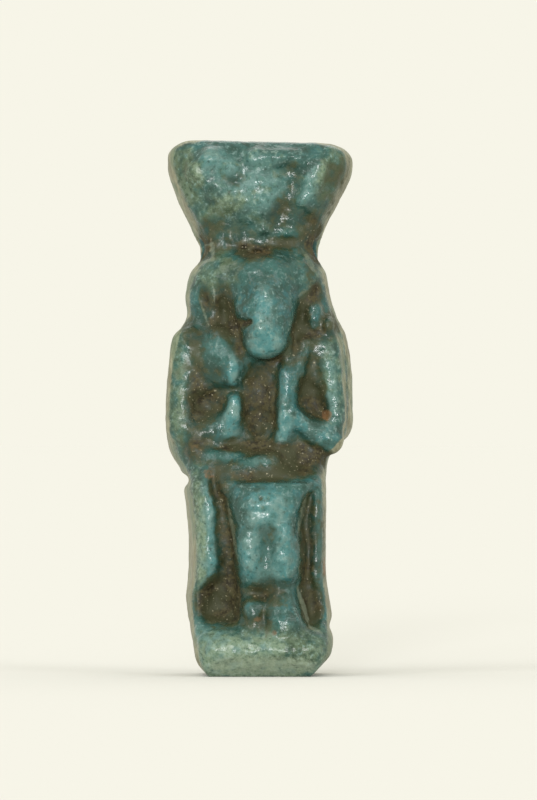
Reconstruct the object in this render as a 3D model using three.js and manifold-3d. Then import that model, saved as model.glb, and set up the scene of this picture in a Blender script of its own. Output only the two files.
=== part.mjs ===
// A small moulded amulet of glazed Egyptian faience: the goddess Hathor with the head of a cow,
// seated on a block throne, with a flaring horned crown, a back pillar and a low base.
// Lengths are millimetres. X runs to the viewer's right, Z up, and the figure faces -Y.
// A form's depth is counted forward from the flat back of the pillar.
import * as THREE from "three";
import { LoftGeometry } from "three/addons/geometries/LoftGeometry.js";
import { mergeVertices } from "three/addons/utils/BufferGeometryUtils.js";
import Module from "manifold-3d";

// Driving dimensions
const HEIGHT = 30;
const DEPTH = 10;
const PILLAR = { width: 4.2, thick: 1.6, top: 28.9, corner: 0.35 };
const CORD_HOLE = { z: 23.75, depth: 2.6, diameter: 1.5, sides: 16, length: 16 };
const FOOT = { left: -2.75, right: 2.9, back: 0.75, front: 8.9 }; // the flat of the underside
const CROWN_SLOPE = 0.022; // the crown's top edge drops to the right, per millimetre

// Sections of the trunk: height, left and right edge at middle depth, back and front depth, how much narrower
// the front is than the back at left and right, and squareness, which is 2 for an ellipse and grows towards
// a rectangle.
const TRUNK = [
  { z: 0.0, left: -3.5, right: 3.95, back: 0.3, front: 9.85, in: [0.1, 0.1], square: 5.5 },
  { z: 0.8, left: -3.55, right: 4.08, back: 0.3, front: 9.95, in: [0.1, 0.1], square: 5.5 },
  { z: 1.7, left: -3.62, right: 4.14, back: 0.3, front: 9.95, in: [0.15, 0.15], square: 5.5 },
  { z: 2.6, left: -3.8, right: 4.13, back: 0.3, front: 9.2, in: [0.2, 0.2], square: 5.5 },
  { z: 3.4, left: -3.9, right: 4.08, back: 0.3, front: 8.5, in: [0.3, 0.2], square: 6 },
  { z: 4.4, left: -4.0, right: 3.92, back: 0.3, front: 8.25, in: [0.45, 0.1], square: 6 },
  { z: 5.3, left: -3.85, right: 3.8, back: 0.3, front: 8.25, in: [0.5, 0.05], square: 6.5 },
  { z: 7.5, left: -3.8, right: 3.76, back: 0.3, front: 8.35, in: [0.5, 0.05], square: 6.5 },
  { z: 9.6, left: -3.96, right: 3.78, back: 0.3, front: 8.45, in: [0.5, 0.05], square: 6 },
  { z: 10.7, left: -4.16, right: 3.79, back: 0.35, front: 8.2, in: [0.5, 0.1], square: 5 },
  { z: 11.5, left: -4.32, right: 3.79, back: 0.5, front: 7.5, in: [0.5, 0.2], square: 4 },
  { z: 12.4, left: -4.88, right: 4.05, back: 0.7, front: 6.6, in: [0.5, 0.3], square: 3.5 },
  { z: 13.5, left: -5.15, right: 5.1, back: 0.85, front: 6.1, in: [0.4, 0.5], square: 3.2 },
  { z: 15.2, left: -5.2, right: 5.26, back: 0.9, front: 5.9, in: [0.3, 0.6], square: 3 },
  { z: 17.6, left: -4.98, right: 5.15, back: 0.9, front: 5.8, in: [0.3, 0.6], square: 3 },
  { z: 19.0, left: -4.6, right: 4.88, back: 0.9, front: 5.6, in: [0.3, 0.5], square: 3 },
  { z: 20.1, left: -4.0, right: 4.35, back: 0.95, front: 5.5, in: [0.3, 0.4], square: 3 },
  { z: 21.2, left: -4.08, right: 4.02, back: 1.0, front: 5.6, in: [0.4, 0.4], square: 3.2 },
  { z: 22.4, left: -3.82, right: 3.78, back: 1.0, front: 5.6, in: [0.6, 0.4], square: 3.2 },
  { z: 23.2, left: -3.42, right: 3.5, back: 1.0, front: 5.1, in: [0.7, 0.4], square: 3.2 },
  { z: 23.8, left: -3.32, right: 3.36, back: 0.95, front: 4.5, in: [0.7, 0.6], square: 3.4 },
  { z: 24.8, left: -3.55, right: 3.52, back: 0.8, front: 4.4, in: [0.8, 0.7], square: 4 },
  { z: 26.6, left: -4.4, right: 4.4, back: 0.6, front: 4.7, in: [0.8, 0.8], square: 4.5 },
  { z: 28.6, left: -5.03, right: 5.2, back: 0.5, front: 4.6, in: [0.6, 0.7], square: 4.5 },
  { z: 29.5, left: -4.88, right: 5.0, back: 0.6, front: 4.5, in: [0.5, 0.6], square: 4 },
  { z: 30.0, left: -4.2, right: 4.3, back: 1.1, front: 4.0, in: [0.4, 0.4], square: 4 },
];
const LEGS = [
  { z: 2.2, left: -1.2, right: 2.75, back: 2, front: 9.5, in: [0.1, 0.1], square: 4 },
  { z: 3.3, left: -1.1, right: 2.4, back: 2, front: 9.25, in: [0.1, 0.1], square: 3.5 },
  { z: 4.6, left: -1.1, right: 2.15, back: 2, front: 8.9, in: [0.1, 0.1], square: 3.5 },
  { z: 7.0, left: -1.2, right: 2.15, back: 2, front: 9.2, in: [0.1, 0.1], square: 3.5 },
  { z: 8.7, left: -1.45, right: 2.25, back: 2, front: 9.4, in: [0.1, 0.1], square: 4 },
  { z: 9.8, left: -1.65, right: 2.5, back: 2, front: 9.4, in: [0.1, 0.1], square: 4 },
  { z: 10.8, left: -1.7, right: 3.3, back: 2, front: 8.9, in: [0.1, 0.2], square: 4 },
];

// The net of points that is drawn over the finished form
const COLUMNS = { front: 32, side: 9, back: 10 };
const CORE = { side: 0.8, footSide: 1.4, back: 1.1, frontShare: 0.5, front: 4.2 }; // the box rays leave from
const BANDS = [
  // lowest height of each band of rings, and the rings' spacing from there up
  { from: 0, step: 0.35 },
  { from: 2.1, step: 0.34 },
  { from: 5.0, step: 0.6 },
  { from: 10.0, step: 0.31 },
  { from: 13.0, step: 0.42 },
  { from: 17.2, step: 0.34 },
  { from: 19.8, step: 0.45 },
  { from: 23.0, step: 0.27 },
  { from: 25.0, step: 0.62 },
  { from: 29.2, step: 0.27 },
];
const EASING = { passes: 8, share: 0.45 };

function smoothMin(a, b, blend) {
  const near = Math.max(blend - Math.abs(a - b), 0) / blend;
  return Math.min(a, b) - (near * near * blend) / 4;
}

function smoothMax(a, b, blend) {
  return -smoothMin(-a, -b, blend);
}

// Distance-like value of an ellipsoid, turned in the front plane.
function ellipsoid(p, [x0, depth0, z0], [wide, thick, tall], turn) {
  const [cos, sin] = [Math.cos(turn), Math.sin(turn)];
  const x = (cos * (p.x - x0) + sin * (p.z - z0)) / wide;
  const depth = (p.depth - depth0) / thick;
  const z = (cos * (p.z - z0) - sin * (p.x - x0)) / tall;
  const size = Math.sqrt(x * x + depth * depth + z * z);
  const slope = Math.sqrt((x / wide) ** 2 + (depth / thick) ** 2 + (z / tall) ** 2);
  return slope < 1e-6 ? -Math.min(wide, thick, tall) : (size * (size - 1)) / slope;
}

// Distance to a limb that tapers from one ball to another.
function taperedLimb(p, from, to, radii) {
  const [x, depth, z] = [p.x - from[0], p.depth - from[1], p.z - from[2]];
  const [alongX, alongDepth, alongZ] = [to[0] - from[0], to[1] - from[1], to[2] - from[2]];
  const length = alongX * alongX + alongDepth * alongDepth + alongZ * alongZ;
  const share = THREE.MathUtils.clamp((x * alongX + depth * alongDepth + z * alongZ) / length, 0, 1);
  const gap = Math.sqrt((x - share * alongX) ** 2 + (depth - share * alongDepth) ** 2 + (z - share * alongZ) ** 2);
  return gap - THREE.MathUtils.lerp(radii[0], radii[1], share);
}

// A mass lofted through rounded-rectangle sections, without ends.
function loftedMass(sections) {
  const heights = sections.map((section) => section.z);
  const sizes = sections.flatMap((s) => [s.left, s.right, s.back, s.front, s.in[0], s.in[1], s.square]);
  const spline = new THREE.CubicInterpolant(heights, sizes, 7);
  const [lowest, highest] = [heights[0], heights[heights.length - 1]];
  const sectionAt = (z) => spline.evaluate(THREE.MathUtils.clamp(z, lowest, highest));
  const distance = (p) => {
    const [left, right, back, front, leftIn, rightIn, square] = sectionAt(p.z);
    const forward = THREE.MathUtils.clamp((p.depth - back) / (front - back), 0, 1) - 0.5;
    const [from, to] = [left + leftIn * forward, right - rightIn * forward];
    const across = Math.abs((2 * p.x - from - to) / (to - from)) ** square;
    const through = Math.abs((2 * p.depth - back - front) / (front - back)) ** square;
    return (((across + through) ** (1 / square) - 1) * Math.min(to - from, front - back)) / 2;
  };
  return { lowest, highest, sectionAt, distance };
}

// The carver's strokes. Each has the heights that it reaches between, and gives the body's value at a point
// with one form added or cut. Places in the front plane are [x, z], and half sizes are [across, up].
// A lofted mass is cut off level at both ends.
function mass(sections, blend) {
  const { lowest, highest, distance } = loftedMass(sections);
  return {
    low: lowest - blend,
    high: highest + blend,
    shape: (body, p) => smoothMin(body, Math.max(distance(p), p.z - highest, lowest - p.z), blend),
  };
}

function swell({ at: [x, z], half: [wide, tall], front, thick = 1.6, blend = 0.4, turn = 0 }) {
  const reach = Math.max(wide, tall) + 2 * blend;
  const [centre, radii] = [
    [x, front - thick, z],
    [wide, thick, tall],
  ];
  const shape = (body, p) => smoothMin(body, ellipsoid(p, centre, radii, turn), blend);
  return { low: z - reach, high: z + reach, shape };
}

function hollow({ at: [x, z], half: [wide, tall], floor, thick = 2, blend = 0.35, turn = 0 }) {
  const reach = Math.max(wide, tall) + 2 * blend;
  const [centre, radii] = [
    [x, floor + thick, z],
    [wide, thick, tall],
  ];
  const shape = (body, p) => smoothMax(body, -ellipsoid(p, centre, radii, turn), blend);
  return { low: z - reach, high: z + reach, shape };
}

// A limb's ends are [x, z] and the depth of its front there, and a groove's are [x, z] and the depth of its floor.
function limb({ from, to, radii, blend = 0.35 }) {
  const [start, end] = [from, to].map(([x, z, front], i) => [x, front - radii[i], z]);
  const reach = Math.max(...radii) + 2 * blend;
  const shape = (body, p) => smoothMin(body, taperedLimb(p, start, end, radii), blend);
  return { low: Math.min(from[1], to[1]) - reach, high: Math.max(from[1], to[1]) + reach, shape };
}

function groove({ from, to, radii, blend = 0.2 }) {
  const [start, end] = [from, to].map(([x, z, floor], i) => [x, floor + radii[i], z]);
  const reach = Math.max(...radii) + 2 * blend;
  const shape = (body, p) => smoothMax(body, -taperedLimb(p, start, end, radii), blend);
  return { low: Math.min(from[1], to[1]) - reach, high: Math.max(from[1], to[1]) + reach, shape };
}

function crown() {
  return [
    swell({ at: [0.15, 27.0], half: [1.55, 1.9], front: 5.1, blend: 0.6 }), // sun disc
    limb({ from: [-3.5, 28.8, 4.8], to: [-1.5, 26.4, 5.0], radii: [0.45, 0.5] }), // left horn
    limb({ from: [3.6, 28.8, 4.8], to: [2.4, 26.1, 4.9], radii: [0.45, 0.45] }), // right horn
    groove({ from: [0.9, 28.7, 4.45], to: [1.75, 27.0, 4.35], radii: [0.4, 0.45] }),
    hollow({ at: [1.35, 26.0], half: [0.55, 0.8], floor: 4.25 }),
    hollow({ at: [-1.3, 27.9], half: [0.55, 0.45], floor: 4.4 }),
    hollow({ at: [1.6, 24.8], half: [1.0, 0.4], floor: 3.9 }),
  ];
}

function head() {
  return [
    groove({ from: [-0.9, 24.0, 4.0], to: [0.7, 23.85, 4.0], radii: [0.3, 0.3] }), // gap under the crown
    groove({ from: [0.5, 24.2, 4.0], to: [2.6, 24.2, 4.0], radii: [0.2, 0.2] }),
    limb({ from: [0.25, 22.3, 6.15], to: [0.25, 18.75, 7.75], radii: [1.85, 1.2], blend: 0.3 }), // face
    swell({ at: [0.95, 20.0], half: [1.2, 1.4], front: 6.9 }), // right cheek
    hollow({ at: [-2.0, 20.4], half: [0.65, 1.35], floor: 4.7 }), // left of the face
    hollow({ at: [2.55, 20.2], half: [0.5, 1.3], floor: 4.7 }), // right of the face
    groove({ from: [-1.5, 19.5, 5.8], to: [-0.3, 19.8, 6.9], radii: [0.25, 0.2] }), // mouth
    limb({ from: [-3.3, 21.5, 5.8], to: [-2.7, 19.2, 6.1], radii: [0.35, 0.4] }), // left ear
    limb({ from: [3.5, 21.9, 5.5], to: [3.3, 19.4, 5.9], radii: [0.35, 0.35] }), // right ear
    hollow({ at: [3.1, 21.3], half: [0.25, 0.5], floor: 4.8, blend: 0.2 }),
  ];
}

// The mouths of the cord hole are worn round.
function cordHoleMouths() {
  return [-1, 1].map((side) => {
    const mouth = [side * 3.6, CORD_HOLE.depth, CORD_HOLE.z];
    const shape = (body, p) => smoothMax(body, -ellipsoid(p, mouth, [0.9, 1.05, 0.85], 0), 0.4);
    return { low: CORD_HOLE.z - 1.7, high: CORD_HOLE.z + 1.7, shape };
  });
}

function breastAndArms() {
  return [
    swell({ at: [-2.3, 17.3], half: [1.15, 1.3], front: 7.0 }), // left lappet
    limb({ from: [-2.2, 19.0, 6.2], to: [-1.9, 18.0, 6.6], radii: [0.4, 0.5] }),
    limb({ from: [-1.35, 17.5, 7.0], to: [-1.4, 16.4, 6.9], radii: [0.3, 0.3] }),
    swell({ at: [-1.35, 15.4], half: [0.4, 0.5], front: 6.8, blend: 0.3 }),
    limb({ from: [2.55, 18.9, 6.4], to: [1.65, 15.5, 6.9], radii: [0.4, 0.5], blend: 0.25 }), // right lappet
    limb({ from: [1.8, 18.8, 6.2], to: [1.4, 17.5, 6.5], radii: [0.22, 0.22], blend: 0.25 }),
    limb({ from: [-4.0, 18.5, 5.8], to: [-4.2, 14.0, 6.3], radii: [0.9, 0.95] }), // left upper arm
    limb({ from: [-1.75, 14.4, 6.9], to: [-3.9, 13.2, 6.6], radii: [0.5, 0.75] }), // left forearm
    limb({ from: [-1.5, 14.9, 6.9], to: [-1.6, 13.6, 6.9], radii: [0.4, 0.4] }), // left hand
    limb({ from: [3.6, 18.5, 6.1], to: [3.9, 14.6, 6.5], radii: [0.8, 0.85] }), // right upper arm
    limb({ from: [1.8, 14.5, 7.1], to: [3.9, 13.2, 6.8], radii: [0.6, 0.8] }), // right forearm
    limb({ from: [1.35, 14.7, 7.1], to: [1.3, 13.4, 7.1], radii: [0.4, 0.4] }), // right hand
    hollow({ at: [-3.0, 15.3], half: [0.75, 1.15], floor: 4.9, turn: -0.2 }), // crook of the left arm
    hollow({ at: [2.85, 15.4], half: [0.62, 1.2], floor: 4.9, turn: 0.12 }), // crook of the right arm
    hollow({ at: [-0.05, 15.1], half: [1.1, 2.2], floor: 5.1 }), // between the hands
    swell({ at: [3.9, 19.5], half: [0.6, 0.6], front: 5.3, thick: 1 }), // right shoulder
    hollow({ at: [-3.5, 12.5], half: [0.55, 0.65], floor: 5.9 }),
  ];
}

function lap() {
  return [
    groove({ from: [-1.1, 12.65, 6.4], to: [1.2, 12.65, 6.4], radii: [0.2, 0.2] }),
    limb({ from: [-1.3, 11.2, 8.4], to: [0.8, 12.1, 7.9], radii: [0.45, 0.45] }), // form lying across the lap
    swell({ at: [-2.2, 12.0], half: [0.55, 0.4], front: 7.7 }),
    hollow({ at: [2.25, 12.1], half: [1.25, 0.95], floor: 5.9 }),
    hollow({ at: [0.9, 11.15], half: [1.7, 0.4], floor: 7.1, blend: 0.2 }),
  ];
}

function legsAndThrone() {
  return [
    hollow({ at: [-1.85, 6.8], half: [0.85, 4.1], floor: 5.8, turn: 0.04, blend: 0.25 }), // left of the legs
    hollow({ at: [2.75, 6.8], half: [0.55, 3.4], floor: 5.8, blend: 0.25 }), // right of the legs
    hollow({ at: [-2.35, 4.25], half: [1.15, 1.1], floor: 5.6, blend: 0.25 }),
    hollow({ at: [2.95, 3.85], half: [0.75, 0.85], floor: 5.7, blend: 0.25 }),
    mass(LEGS, 0.2),
    swell({ at: [0.4, 9.7], half: [1.7, 1.0], front: 9.65 }), // knees
    groove({ from: [0.4, 7.6, 9.1], to: [0.4, 4.6, 8.7], radii: [0.4, 0.4] }), // between the shins
    hollow({ at: [0.55, 4.5], half: [1.15, 0.5], floor: 8.3 }), // ankles
    swell({ at: [-0.5, 3.5], half: [0.6, 0.75], front: 9.5 }), // left foot
    swell({ at: [1.65, 3.2], half: [0.95, 1.1], front: 9.6 }), // right foot
  ];
}

// Shallow cuts that show on the sides: behind the upper arm, at the top of the seat and above the base.
function sideCuts() {
  return [-1, 1].flatMap((side) => {
    const cut = (from, to, reach, radius) => {
      const [start, end] = [from, to].map(([depth, z]) => [side * reach, depth, z]);
      const shape = (body, p) => smoothMax(body, -taperedLimb(p, start, end, [radius, radius]), 0.3);
      return { low: Math.min(from[1], to[1]) - 1, high: Math.max(from[1], to[1]) + 1, shape };
    };
    return [
      cut([2.2, 19.3], [2.4, 14.0], 5.4, 0.4),
      cut([0.9, 10.9], [7.2, 10.9], 4.2, 0.32),
      cut([0.6, 2.75], [7.6, 2.75], 4.25, 0.3),
    ];
  });
}

const trunk = loftedMass(TRUNK);
const strokes = [
  ...crown(),
  ...head(),
  ...breastAndArms(),
  ...lap(),
  ...legsAndThrone(),
  ...sideCuts(),
  ...cordHoleMouths(),
];

// The strokes that reach each slab of the figure, from the underside up.
const SLAB = 0.5;
const strokesBySlab = Array.from({ length: HEIGHT / SLAB + 1 }, (_, i) =>
  strokes.filter(({ low, high }) => high > i * SLAB && low < (i + 1) * SLAB),
);

// The back pillar is a plain slab with rounded edges, flat at depth 0.
function pillar(p) {
  const { width, thick, top, corner } = PILLAR;
  const x = Math.abs(p.x) - width / 2 + corner;
  const depth = Math.abs(p.depth - thick / 2) - thick / 2 + corner;
  const z = p.z - top + corner;
  const outside = Math.sqrt(Math.max(x, 0) ** 2 + Math.max(depth, 0) ** 2 + Math.max(z, 0) ** 2);
  return outside + Math.min(Math.max(x, depth, z), 0) - corner;
}

// The four flat bevels that rise from the edges of the underside.
function bevels(p) {
  const beyond = Math.max(FOOT.left - p.x, p.x - FOOT.right, FOOT.back - p.depth, p.depth - FOOT.front);
  return (beyond - p.z) * Math.SQRT1_2;
}

// Negative inside the amulet, positive outside.
function amulet(p) {
  const slab = strokesBySlab[Math.floor(THREE.MathUtils.clamp(p.z, 0, HEIGHT) / SLAB)];
  let body = trunk.distance(p);
  for (const stroke of slab) body = stroke.shape(body, p);
  return smoothMax(smoothMin(body, pillar(p), 0.25), bevels(p), 0.3);
}

// The first point of the surface that a ray meets on its way in from outside, by steps and then halving.
function meet(origin, direction, z) {
  const at = (reach) => ({ x: origin.x + direction.x * reach, depth: origin.y + direction.y * reach, z });
  const [step, halvings] = [0.2, 12];
  let reach = 8;
  while (reach > step && amulet(at(reach)) > 0) reach -= step;
  let [inner, outer] = [reach, reach + step];
  for (let i = 0; i < halvings; i++) {
    const middle = (inner + outer) / 2;
    if (amulet(at(middle)) > 0) outer = middle;
    else inner = middle;
  }
  return at(outer);
}

// Points evenly spaced round the rectangle that frames a section, counterclockwise seen from above.
function frame(left, right, back, front) {
  const corners = [
    [left, front],
    [right, front],
    [right, back],
    [left, back],
  ];
  const counts = [COLUMNS.front, COLUMNS.side, COLUMNS.back, COLUMNS.side];
  return counts.flatMap((count, i) => {
    const [from, to] = [corners[i], corners[(i + 1) % corners.length]];
    return Array.from({ length: count }, (_, k) => {
      const share = (k + 0.5) / count;
      return new THREE.Vector2(
        THREE.MathUtils.lerp(from[0], to[0], share),
        THREE.MathUtils.lerp(from[1], to[1], share),
      );
    });
  });
}

// One ring of the net. Each ray runs from the nearest point of a core box through a point of the frame.
function ring(z) {
  const [left, right, back, front] = trunk.sectionAt(z);
  const coreFront = Math.min(CORE.front, THREE.MathUtils.lerp(back, front, CORE.frontShare));
  const side = z < 1 ? CORE.footSide : CORE.side;
  const low = new THREE.Vector2(left + side, back + CORE.back);
  const high = new THREE.Vector2(right - side, Math.max(coreFront, back + CORE.back + 0.2));
  return frame(left, right, back, front).map((target) => {
    const origin = target.clone().clamp(low, high);
    return meet(origin, target.clone().sub(origin).normalize(), z);
  });
}

// Rounds the foot's outline to hundredths, so that its sides are exactly straight.
function straighten(points) {
  const tidy = (value) => Math.round(value * 100) / 100;
  return points.map(({ x, depth, z }) => ({ x: tidy(x), depth: tidy(depth), z }));
}

function ringHeights() {
  const ends = [...BANDS.slice(1).map((band) => band.from), HEIGHT];
  const heights = BANDS.flatMap(({ from, step }, i) => {
    const count = Math.round((ends[i] - from) / step);
    return Array.from({ length: count }, (_, k) => THREE.MathUtils.lerp(from, ends[i], k / count));
  });
  return [...heights, HEIGHT];
}

// Brings a point back to the surface along the steepest way.
function settle(p) {
  const probe = 0.02;
  const value = amulet(p);
  const slopeX = (amulet({ ...p, x: p.x + probe }) - value) / probe;
  const slopeDepth = (amulet({ ...p, depth: p.depth + probe }) - value) / probe;
  const slopeZ = (amulet({ ...p, z: p.z + probe }) - value) / probe;
  const steepness = slopeX ** 2 + slopeDepth ** 2 + slopeZ ** 2;
  const length = THREE.MathUtils.clamp(value / Math.max(steepness, 0.05), -0.25, 0.25);
  p.x -= slopeX * length;
  p.depth -= slopeDepth * length;
  p.z -= slopeZ * length;
}

// Slides the net's points over the surface until they are evenly spread. The end rings stay where they are.
function ease(rings) {
  for (let pass = 0; pass < EASING.passes; pass++) {
    for (let row = 1; row < rings.length - 1; row++) {
      const [points, below, above] = [rings[row], rings[row - 1], rings[row + 1]];
      points.forEach((p, i) => {
        const around = [below[i], above[i], points.at(i - 1), points[(i + 1) % points.length]];
        for (const axis of ["x", "depth", "z"]) {
          const middle = around.reduce((sum, neighbour) => sum + neighbour[axis], 0) / around.length;
          p[axis] += (middle - p[axis]) * EASING.share;
        }
        settle(p);
      });
    }
  }
  rings.slice(1, -1).forEach((points) => points.forEach(settle));
  return rings;
}

// Splits each four-sided face of the lofted net along the diagonal that lies nearer the surface.
function turnDiagonals(loft, faces) {
  const { index, attributes } = loft;
  const offSurface = (i, k) => {
    const [a, b] = [i, k].map((at) => new THREE.Vector3().fromBufferAttribute(attributes.position, at));
    const middle = a.add(b).divideScalar(2);
    return Math.abs(amulet({ x: middle.x, depth: -middle.y, z: middle.z }));
  };
  for (let face = 0; face < faces; face++) {
    const [a, b, d, , c] = Array.from({ length: 5 }, (_, k) => index.getX(6 * face + k));
    if (offSurface(a, c) < offSurface(b, d)) {
      [a, b, c, a, c, d].forEach((corner, k) => index.setX(6 * face + k, corner));
    }
  }
}

// The net as a closed geometry, with its back turned to +Y and the crown's top edge sloping.
function skin(rings) {
  const sections = rings.map((points) => points.map((p) => new THREE.Vector3(p.x, -p.depth, p.z)));
  const loft = new LoftGeometry(sections, { capStart: true, capEnd: true });
  turnDiagonals(loft, (rings.length - 1) * rings[0].length);
  const { position } = loft.attributes;
  for (let i = 0; i < position.count; i++) {
    const [x, z] = [position.getX(i), position.getZ(i)];
    position.setZ(i, z - CROWN_SLOPE * (x + 5) * THREE.MathUtils.smoothstep(z, 25, HEIGHT));
  }
  return loft.translate(0, DEPTH / 2, 0);
}

// A closed geometry as a manifold-3d solid.
function solidOf(wasm, geometry) {
  const bare = new THREE.BufferGeometry();
  bare.setAttribute("position", geometry.attributes.position);
  bare.setIndex(geometry.index);
  const merged = mergeVertices(bare, 1e-4);
  return new wasm.Manifold(
    new wasm.Mesh({
      numProp: 3,
      vertProperties: merged.attributes.position.array,
      triVerts: new Uint32Array(merged.index.array),
    }),
  );
}

function geometryOf(solid) {
  const mesh = solid.getMesh();
  const geometry = new THREE.BufferGeometry();
  geometry.setAttribute("position", new THREE.BufferAttribute(mesh.vertProperties, 3));
  geometry.setIndex(new THREE.BufferAttribute(mesh.triVerts, 1));
  geometry.computeVertexNormals();
  return geometry;
}

// The hole for the cord runs from side to side through the neck, behind the head.
function cordHole() {
  const { z, depth, diameter, sides, length } = CORD_HOLE;
  return new THREE.CylinderGeometry(diameter / 2, diameter / 2, length, sides)
    .rotateZ(Math.PI / 2)
    .translate(0, DEPTH / 2 - depth, z);
}

const wasm = await Module();
wasm.setup();

const [foot, ...rings] = ringHeights().map(ring);
const figure = skin(ease([straighten(foot), ...rings]));
const drilled = solidOf(wasm, figure).subtract(solidOf(wasm, cordHole()));

const faience = new THREE.MeshStandardMaterial({ color: 0x3f7f80, roughness: 0.35, metalness: 0 });
const hathor = new THREE.Mesh(geometryOf(drilled), faience);
hathor.name = "hathor_amulet";

const group = new THREE.Group();
group.add(hathor);

export default group;
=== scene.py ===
import bpy
import numpy as np
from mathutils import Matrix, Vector


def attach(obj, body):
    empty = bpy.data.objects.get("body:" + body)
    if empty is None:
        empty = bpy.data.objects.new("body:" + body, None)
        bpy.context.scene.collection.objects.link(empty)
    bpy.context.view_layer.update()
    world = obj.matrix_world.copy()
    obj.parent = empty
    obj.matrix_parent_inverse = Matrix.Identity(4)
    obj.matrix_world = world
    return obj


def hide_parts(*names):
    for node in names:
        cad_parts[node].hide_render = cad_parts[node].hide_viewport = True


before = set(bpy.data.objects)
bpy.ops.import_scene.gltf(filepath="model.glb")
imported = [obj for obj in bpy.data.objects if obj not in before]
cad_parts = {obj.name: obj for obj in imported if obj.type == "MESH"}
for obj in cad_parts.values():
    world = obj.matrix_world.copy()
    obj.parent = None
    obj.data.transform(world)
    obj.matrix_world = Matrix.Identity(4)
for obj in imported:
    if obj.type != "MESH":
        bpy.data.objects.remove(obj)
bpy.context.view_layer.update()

MM = 0.001
NODE = "hathor_amulet"
HEIGHT = 30.0
HALF_DEPTH = 5.0
CROWN_SLOPE = 0.022
PILLAR = {"width": 4.2, "thick": 1.6, "top": 28.9, "corner": 0.35}
CORD_HOLE = {"z": 23.75, "depth": 2.6, "radius": 0.75}
FOOT = {"left": -2.75, "right": 2.9, "back": 0.75, "front": 8.9}
GRID_STEP = 0.12
BACK_STEP = 0.24
SLAB = 0.5


# Camera
PHOTO_HEIGHT_MM = 44.78
CAMERA_AWAY = 0.6
camera_data = bpy.data.cameras.new("camera")
camera = bpy.data.objects.new("camera", camera_data)
bpy.context.collection.objects.link(camera)
camera.location = (0.56 * MM, -CAMERA_AWAY, 15.39 * MM)
camera.rotation_euler = (np.radians(90), 0, 0)
camera_data.sensor_width = 36
camera_data.lens = 36 * CAMERA_AWAY / (PHOTO_HEIGHT_MM * MM)
camera_data.clip_start = 0.01
camera_data.clip_end = 10
bpy.context.scene.camera = camera


# Form
def section(z, left, right, back, front, draft, square):
    """One level of a lofted mass: its edges, how much narrower its front is than its back, and how square it is."""
    return (z, left, right, back, front, draft[0], draft[1], square)


TRUNK = [
    section(0.0, -3.5, 3.95, 0.3, 9.85, (0.1, 0.1), 5.5),
    section(0.8, -3.55, 4.08, 0.3, 9.95, (0.1, 0.1), 5.5),
    section(1.7, -3.62, 4.14, 0.3, 9.95, (0.15, 0.15), 5.5),
    section(2.6, -3.8, 4.13, 0.3, 9.2, (0.2, 0.2), 5.5),
    section(3.4, -3.9, 4.08, 0.3, 8.5, (0.3, 0.2), 6),
    section(4.4, -4.0, 3.92, 0.3, 8.25, (0.45, 0.1), 6),
    section(5.3, -3.85, 3.8, 0.3, 8.25, (0.5, 0.05), 6.5),
    section(7.5, -3.8, 3.76, 0.3, 8.35, (0.5, 0.05), 6.5),
    section(9.6, -3.96, 3.78, 0.3, 8.45, (0.5, 0.05), 6),
    section(10.7, -4.16, 3.79, 0.35, 8.2, (0.5, 0.1), 5),
    section(11.5, -4.32, 3.79, 0.5, 7.5, (0.5, 0.2), 4),
    section(12.4, -4.88, 4.05, 0.7, 6.6, (0.5, 0.3), 3.5),
    section(13.5, -5.15, 5.1, 0.85, 6.1, (0.4, 0.5), 3.2),
    section(15.2, -5.2, 5.26, 0.9, 5.9, (0.3, 0.6), 3),
    section(17.6, -4.98, 5.15, 0.9, 5.8, (0.3, 0.6), 3),
    section(19.0, -4.6, 4.88, 0.9, 5.6, (0.3, 0.5), 3),
    section(20.1, -4.0, 4.35, 0.95, 5.5, (0.3, 0.4), 3),
    section(21.2, -4.08, 4.02, 1.0, 5.6, (0.4, 0.4), 3.2),
    section(22.4, -3.82, 3.78, 1.0, 5.6, (0.6, 0.4), 3.2),
    section(23.2, -3.42, 3.5, 1.0, 5.1, (0.8, 0.8), 3.2),
    section(23.8, -3.32, 3.36, 0.95, 4.5, (0.9, 1.1), 3.6),
    section(24.8, -3.55, 3.52, 0.8, 4.4, (0.9, 0.9), 4),
    section(26.6, -4.4, 4.4, 0.6, 4.7, (0.85, 0.85), 4.5),
    section(28.6, -5.03, 5.2, 0.5, 4.6, (0.6, 0.7), 4.5),
    section(29.5, -4.88, 5.0, 0.6, 4.5, (0.5, 0.6), 4),
    section(30.0, -4.2, 4.3, 1.1, 4.0, (0.4, 0.4), 4),
]
LEGS = [
    section(2.2, -1.2, 2.75, 2, 9.5, (0.1, 0.1), 4),
    section(3.3, -1.1, 2.5, 2, 9.25, (0.1, 0.1), 3.5),
    section(4.6, -1.1, 2.3, 2, 8.7, (0.1, 0.1), 4),
    section(5.6, -1.15, 2.3, 2, 8.9, (0.1, 0.1), 4),
    section(7.0, -1.35, 2.3, 2, 9.15, (0.1, 0.1), 4.5),
    section(8.7, -1.65, 2.4, 2, 9.4, (0.1, 0.1), 4),
    section(9.8, -1.85, 2.65, 2, 9.35, (0.1, 0.1), 4),
    section(10.8, -1.8, 3.3, 2, 8.9, (0.1, 0.2), 4),
]


def smooth_min(a, b, blend):
    near = np.maximum(blend - np.abs(a - b), 0) / blend
    return np.minimum(a, b) - near * near * blend / 4


def smooth_max(a, b, blend):
    return -smooth_min(-a, -b, blend)


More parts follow.
